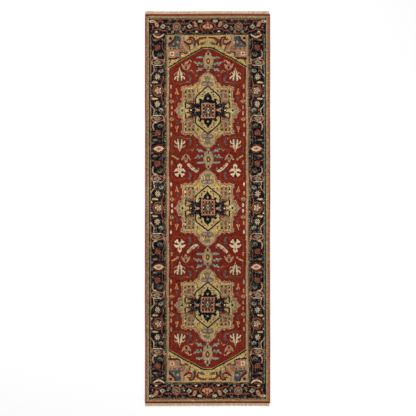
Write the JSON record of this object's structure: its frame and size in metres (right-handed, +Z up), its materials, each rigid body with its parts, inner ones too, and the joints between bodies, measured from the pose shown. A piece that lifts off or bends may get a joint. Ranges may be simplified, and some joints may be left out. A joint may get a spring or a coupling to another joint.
{
  "type": "area rug",
  "caption": "Long flat runner rug with knotted wool pile, medallions down its field, patterned borders, bound side edges and short fringed ends.",
  "frame": {"origin": "centre of the underside, on the floor the rug lies on", "axes": "+Z up out of the pile, +Y along the warps and the rug's length, X across its width"},
  "size_m": [0.78, 2.461, 0.0093],
  "materials": {
    "foundation_cotton": "undyed cotton ground weave, matte, with the knots' colours showing on its back",
    "field_wool": "knotted wool pile in madder red with vines and flowers, matte with a soft sheen",
    "spandrel_wool": "knotted wool pile in straw gold with scrolls, rosettes and leaves",
    "pole_palmette_wool": "knotted wool pile in gold and pale blue",
    "medallion_ground_wool": "knotted wool pile in gold with salmon and grey-blue outlines",
    "medallion_lozenge_wool": "knotted wool pile in straw and navy with a dark outline",
    "medallion_square_wool": "knotted wool pile in salmon and brown with dark checks",
    "inner_guard_wool": "knotted wool pile in sand, grey-green and brown stripes",
    "main_border_wool": "knotted wool pile in navy with rosettes, palmettes and vines",
    "outer_guard_wool": "knotted wool pile in tan with fine dark lines",
    "selvedge_wool": "wool yarn overcast round the edge, ribbed, matte",
    "selvedge_core_cotton": "undyed cotton cord, hidden",
    "kilim_wool": "flat-woven wool, fine ribs, matte",
    "lock_cord_cotton": "twisted cotton cord, matte",
    "fringe_cotton": "plied cotton warp ends, matte"
  },
  "bodies": {
    "root": {"foundation": "foundation_cotton", "field_pile": "field_wool", "spandrel_pile_far": "spandrel_wool", "spandrel_pile_near": "spandrel_wool", "pole_palmette_pile_1": "pole_palmette_wool", "pole_palmette_pile_2": "pole_palmette_wool", "pole_palmette_pile_3": "pole_palmette_wool", "pole_palmette_pile_4": "pole_palmette_wool", "medallion_ground_pile_far": "medallion_ground_wool", "medallion_lozenge_pile_far": "medallion_lozenge_wool", "medallion_square_pile_far": "medallion_square_wool", "medallion_ground_pile_middle": "medallion_ground_wool", "medallion_lozenge_pile_middle": "medallion_lozenge_wool", "medallion_square_pile_middle": "medallion_square_wool", "medallion_ground_pile_near": "medallion_ground_wool", "medallion_lozenge_pile_near": "medallion_lozenge_wool", "medallion_square_pile_near": "medallion_square_wool", "inner_guard_pile_far": "inner_guard_wool", "inner_guard_pile_near": "inner_guard_wool", "inner_guard_pile_left": "inner_guard_wool", "inner_guard_pile_right": "inner_guard_wool", "main_border_pile_far": "main_border_wool", "main_border_pile_near": "main_border_wool", "main_border_pile_left": "main_border_wool", "main_border_pile_right": "main_border_wool", "outer_guard_pile_far": "outer_guard_wool", "outer_guard_pile_near": "outer_guard_wool", "outer_guard_pile_left": "outer_guard_wool", "outer_guard_pile_right": "outer_guard_wool", "selvedge_wrap_left": "selvedge_wool", "selvedge_core_left": "selvedge_core_cotton", "selvedge_wrap_right": "selvedge_wool", "selvedge_core_right": "selvedge_core_cotton", "kilim_band_far": "kilim_wool", "lock_cord_far": "lock_cord_cotton", "fringe_far": "fringe_cotton", "kilim_band_near": "kilim_wool", "lock_cord_near": "lock_cord_cotton", "fringe_near": "fringe_cotton"}
  },
  "joints": []
}
